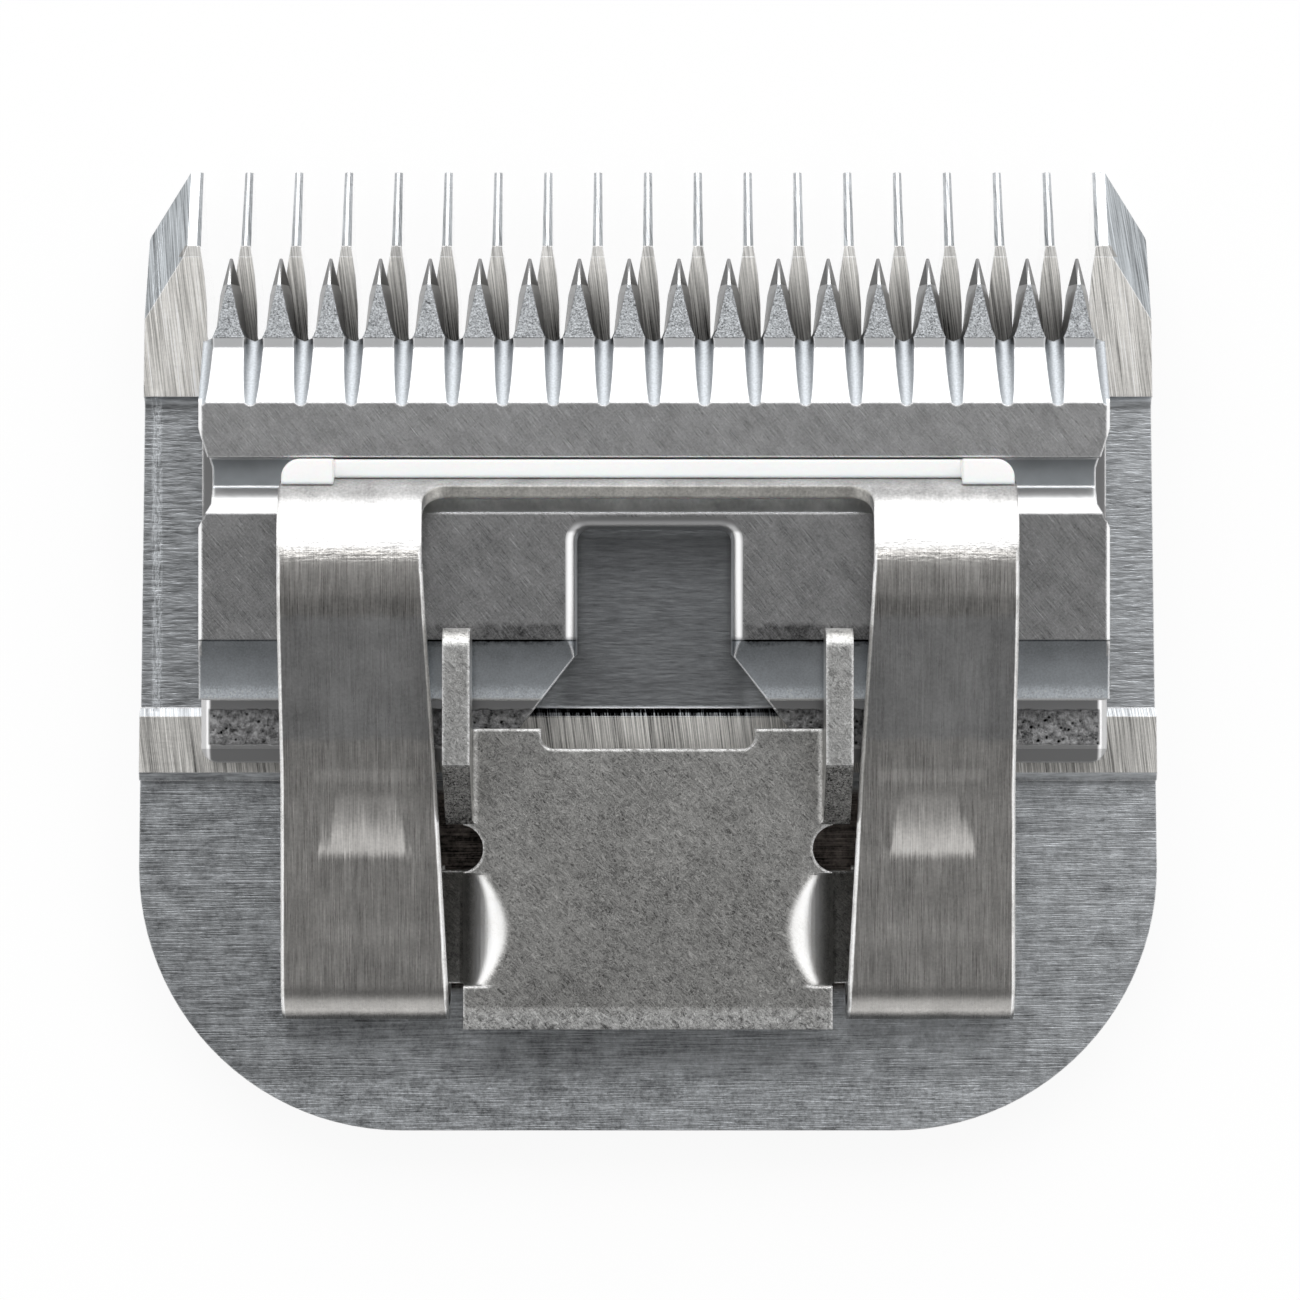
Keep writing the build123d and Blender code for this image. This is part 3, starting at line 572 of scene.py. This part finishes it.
cutter.surface(shaded(tone, shade), 1.0, roughness, bump(height, 0.8, 0.03, turned))

# %% [markdown]
# The spring is cold-rolled strip. The rolling left fine lines along its length, which follow the arms
# and fade over a stretch of each arm, over the front bend and round the rear loops. Light and shade
# are painted on it: a paler front bend, a darker front bar, light and dark bands down the arms, a
# sheen on the two patches over the screws, a highlight and a shade round the rear loops, and
# highlights along its sheared edges, which are slightly rounded. That rounding and the front bend are
# slow forms in the normal too, because they move the thin strip's surface by half a millimetre at
# most, which no outline shows.

# %% Spring: where each finish lies
arm_x = 13.65  # the middle line of each arm
arm_outer_x = 17.7

spring = Finish("spring_steel")
point, x, y, _ = spring.place()
_, forward, _ = spring.facing()
from_arm = abs(abs(x) - arm_x)
waver = noise(point, 1.3, 4.0, 0.65) - 0.5
brushed = streaks(point, 90, 2.4, 0.06, 3.0, 0.65)
brushed_soft = streaks(point, 90, 3.0, 0.35, 3.0, 0.55, seed=2.9)
ripple = streaks(point, 0, 1.4, 0.16, 3.0, 0.6, seed=8.3)
fleck = noise(point, 7.0, 3.0, 0.6)
mottle = noise(point, 0.55, 3.0, 0.6)

calm_y = (-4.3, 1.6)
loop_y = -16.3
crest_y = 4.85
calm = (y + waver * 0.5).between(*calm_y, 0.5)
# Painted light and shade down the arms: a dark band, a pale band, a dim band where the front bend's
# highlight fades, and a darker front bar.
dark_band = (y + waver * 0.3).between(1.6, 2.6, 0.6)
pale_band = (y + waver * 0.3).between(3.7, 4.9, 0.9)
dim_band = (y + waver * 0.2).between(4.3, 5.0, 0.8)
crest = (y + waver * 0.35).above(crest_y, 0.5)
front_bar = y.above(6.95, 1.4)
sheared = forward.below(-0.25, 0.2) * y.above(4.5, 0.2)
# Painted light and shade round the rear loops: darker overall, a highlight, and shade on their underside.
loop = y.below(loop_y, 0.4)
loop_highlight = y.between(-17.35, -16.75, 0.5)
loop_underside_shade = y.below(-17.5, 0.25)
spring.tell("bands")

# %% Spring: painted sheen over the screws, a painted highlight band and a pale blotch
sheen_half = 1.25 - (y + 6.9) * 0.32
painted_sheen = (sheen_half - from_arm + swing((brushed_soft, 1.5))).above(0, 0.5)
painted_sheen = painted_sheen * (y + swing((brushed, 0.9))).between(-9.9, -7.0, 0.6)
painted_sheen = painted_sheen * (y.below(-8.4, 2.2) * 0.75 + 0.25)
bend_highlight = (y + swing((brushed, 0.3))).between(-6.35, -5.75, 0.35) * from_arm.below(2.5, 0.5)
pale_blotch = (y + waver * 0.6).between(-14.1, -13.2, 0.6) * from_arm.below(2.6, 1.2)
spring.tell("struck patches")

# %% Spring: its rounded edges and the front bend
soft, edge = rounded(spring, 0.24)
inner_gap = abs(x) - (y * 0.0511 + 10.545) + y.above(5.2, 0.1) * 9
outer_gap = arm_outer_x - abs(x)
brink = (waver * 0.05 + 0.2).past(inner_gap.math("MINIMUM", outer_gap)) * (1 - crest)
bend = (y + waver * 0.25).above(5.35, 2.8)
turned = form(bend * -0.52 - brink * brink * 2.2, soft)
spring.tell("edges and bend")

# %% Spring: lightness, colours, relief and gloss
line_shade = swing((brushed, 1.25), (brushed_soft, 0.6))
line_shade = line_shade * (1 - calm * 0.75) * (1 - crest * 0.85) * (1 - loop * 0.8)
# Painted light and shade: the sheen over the screws, the highlight band, the bands down the arms, the
# front bar and the loops.
shade = line_shade + swing((mottle, 0.6), (fleck, 0.6)) + painted_sheen * 0.55 + bend_highlight * 0.26 + pale_blotch * 0.14
shade = shade - dark_band * 0.28 + pale_band * 0.3 - dim_band * 0.4 - front_bar * 0.42
shade = shade - loop * 0.2 + loop_highlight * 0.5 - loop_underside_shade * 0.3
shade = shade - calm * from_arm.above(2.4, 1.4) * 0.12 + 1
# Painted highlights: the crest of the front bend is paler, and the rounded edges are near white.
tone = coats(
    (0.565, 0.55, 0.53),
    ((0.54, 0.54, 0.54), calm),
    ((0.72, 0.715, 0.71), crest),
    ((0.97, 0.965, 0.95), (edge * (1 - front_bar)).either(brink.above(0.05, 0.06))),
    ((0.95, 0.93, 0.88), sheared),
)
roughness = swing((brushed, 0.2)) + painted_sheen * 0.14 + crest * 0.09 + 0.29
height = brushed * (1 - calm * 0.7) * 0.5 + ripple * y.between(4.2, 5.4, 0.6) * 1.2
spring.surface(shaded(tone, shade), 1.0, roughness, bump(height, 0.6, 0.025, turned))

# %% [markdown]
# The hinge socket is stamped from thicker sheet and tumbled in a drum, so its scratches run in every
# direction. Light and shade are painted on it: highlights on patches of its rounded corners and along
# the ear tops' edges, a paler, speckled lip at the rear where its flare catches the light, a highlight
# in the crescent that the press turned down in each flange behind the ears, and shade on the slopes
# that face the rear. The scratches are fine noise whose place is pushed aside by slower noise, so they
# curl. Drawn one by one they would look combed. The screws are tumbled too and share the finish, with
# sharper edges.

# %% Curled scratches and the pressed crescent
flange_middle_y = -13.5


def warp(point, amount, reach):
    """The place pushed aside by a value, so that what is drawn there curls."""
    shift = point.finish.node("ShaderNodeCombineXYZ", {}, {0: amount * reach, 1: amount * -reach, 2: 0.0})
    return point.finish.node("ShaderNodeVectorMath", {"operation": "ADD"}, {0: point, 1: shift})


def crescent(x, y):
    """How far a place is into the crescent pressed in each flange, in millimetres."""
    along = abs(y - flange_middle_y)
    start = along * along * 0.17 + 6.5
    return abs(x).past(start) * along.below(2.7, 0.1)


print("curls and crescent ready")

# %% Socket and screws
def tumbled_steel(name, edge_radius):
    steel = Finish(name)
    point, x, y, z = steel.place()
    _, forward, up = steel.facing()
    swirl = noise(point, 0.8, 3.0, 0.6, 1.2)
    hair = noise(warp(point, swirl, 1.4), 11.5, 4.0, 0.7, 0.9)
    worn = noise(point, 2.6, 4.0, 0.7, 0.4)
    cloud = noise(point, 0.35, 3.0, 0.6)

    # The rear lip is painted paler where its flare catches the light, with speckles.
    lip = (y - swing((worn, 1.3))).below(-17.4, 0.7) * up.above(0.9, 0.1)
    ear_top = z.above(10.4, 0.1)
    # Painted shade: slopes that face the rear are darker.
    slope = forward.below(-0.4, 0.2)
    drop = crescent(x, y)
    # Painted highlight in the pressed crescent: whiter, paler and with fewer scratches.
    pressed = drop.above(0.3, 0.5) * z.above(6.7, 0.6)
    soft, edge = rounded(steel, edge_radius)
    # Painted highlights on patches of the rounded edges, and all along the ear tops' edges.
    edge_highlight = edge * (1 - slope) * (worn + cloud * 0.4).above(0.62, 0.22).either(ear_top)

    shade = swing((hair, 2.9), (worn, 0.9)) * (1 - pressed * 0.8) + swing((cloud, 0.5))
    # Painted light and shade: a little lighter towards the front, a paler lip, darker rear-facing slopes.
    shade = shade + (y + 18.0) * 0.004 + lip * (worn * 0.9 - 0.5) - slope * 0.5
    shade = shade + ear_top * 0.08 + pressed * 0.25 + 0.75
    tone = coats(
        (0.52, 0.515, 0.50),
        ((0.6, 0.6, 0.59), lip.either(ear_top)),
        ((0.93, 0.93, 0.92), edge_highlight),
        ((0.97, 0.965, 0.95), pressed),
    )
    height = (hair * 0.7 + worn * 0.6) * (1 - pressed * 0.8)
    turned = form(drop * drop * -0.31, soft)
    normal = bump(height, 0.7, 0.022, turned)
    steel.surface(shaded(tone, shade), 1.0, swing((hair, 0.3)) + 0.35, normal)
    return steel


socket = tumbled_steel("socket_steel", 0.24)
screws = [tumbled_steel(name, 0.1) for name in ("screw_steel_left", "screw_steel_right")]

# %% [markdown]
# The guide is a moulded strip of white plastic, satin and slightly soft to light. One flat white would
# look drawn, so a faint grain and the flow of the melt along the strip vary its tone and its gloss,
# and a little light passes under the surface.

# %% White plastic
guide = Finish("white_plastic")
point, *_ = guide.place()
grain = noise(point, 6.0, 3.0)
flow = streaks(point, 0, 6.0, 0.5, 2.0, 0.5)
tone = shaded((0.95, 0.95, 0.945), swing((grain, 0.05), (flow, 0.05)) + 1)
soft, _ = rounded(guide, 0.2)
under_surface = {"Subsurface Weight": 0.2, "Subsurface Scale": 0.6 * MM}
roughness = swing((grain, 0.15)) + 0.38
guide.surface(tone, 0.0, roughness, bump(grain, 0.15, 0.01, soft), **under_surface)

# %% [markdown]
# The solids keep the shapes that the model gave them, so all that is left is to hand each one its
# finish.

# %% Give each piece its finish
finishes = {
    "comb": comb,
    "cutter": cutter,
    "tension_spring": spring,
    "spring_guide": guide,
    "hinge_socket": socket,
    "screw_left": screws[0],
    "screw_right": screws[1],
}
for name, finish in finishes.items():
    for slot in nodes[name].material_slots:
        slot.material = finish.material
print("finishes:", {name: finish.name for name, finish in finishes.items()})
